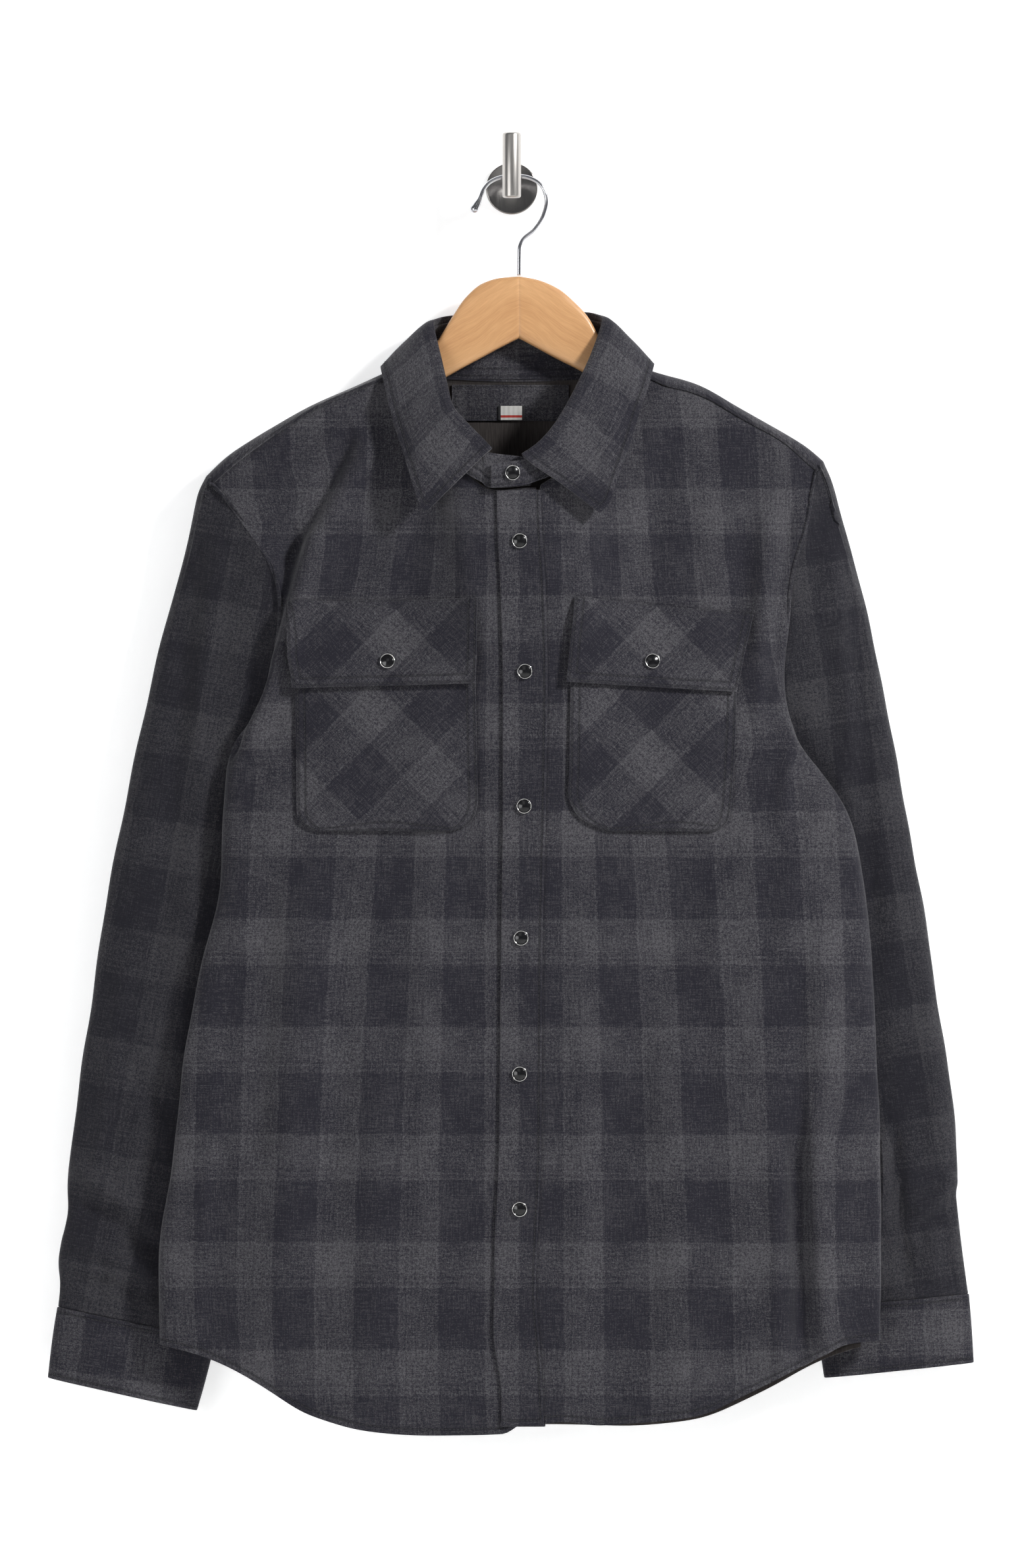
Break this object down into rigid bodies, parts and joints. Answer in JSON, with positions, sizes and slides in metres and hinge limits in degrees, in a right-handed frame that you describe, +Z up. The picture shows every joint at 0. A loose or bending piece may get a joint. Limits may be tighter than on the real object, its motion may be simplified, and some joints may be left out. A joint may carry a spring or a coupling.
{
  "type": "shacket on a hanger and wall hook",
  "caption": "Check flannel shirt jacket with collar, placket and flap pockets, hanging nearly flat on a wooden hanger from a round wall hook.",
  "frame": {"origin": "centre of the wall hook plate's back face, on the wall", "axes": "+X to the right of someone facing the front, +Y into the wall, +Z up; left and right in names are the viewer's"},
  "size_m": [0.6789, 0.0815, 0.9505],
  "materials": {
    "flannel": "brushed woven check in charcoal, grey and off-white",
    "flannel_inside": "plain brushed weave",
    "woven_label": "plain woven tape",
    "snap_metal": "dark domed cap in a bright ring",
    "beech": "satin lacquer over orange-tan grain",
    "wire_chrome": "polished plated wire",
    "brushed_nickel": "brushed nickel plate"
  },
  "bodies": {
    "root": {"front_under": "flannel", "front_over": "flannel", "placket": "flannel", "back": "flannel", "yoke": "flannel", "sleeve_left": "flannel", "sleeve_right": "flannel", "cuff_left": "flannel", "cuff_right": "flannel", "collar_leaf": "flannel", "collar_stand": "flannel", "pocket_left": "flannel", "pocket_right": "flannel", "flap_left": "flannel", "flap_right": "flannel", "neck_facing": "flannel_inside", "neck_label": "woven_label", "snap_front_1": "snap_metal", "snap_front_2": "snap_metal", "snap_front_3": "snap_metal", "snap_front_4": "snap_metal", "snap_front_5": "snap_metal", "snap_front_6": "snap_metal", "snap_stand": "snap_metal", "snap_flap_left": "snap_metal", "snap_flap_right": "snap_metal", "hanger_left_arm": "beech", "hanger_right_arm": "beech", "hanger_wire": "wire_chrome", "wall_hook": "brushed_nickel"}
  },
  "joints": []
}
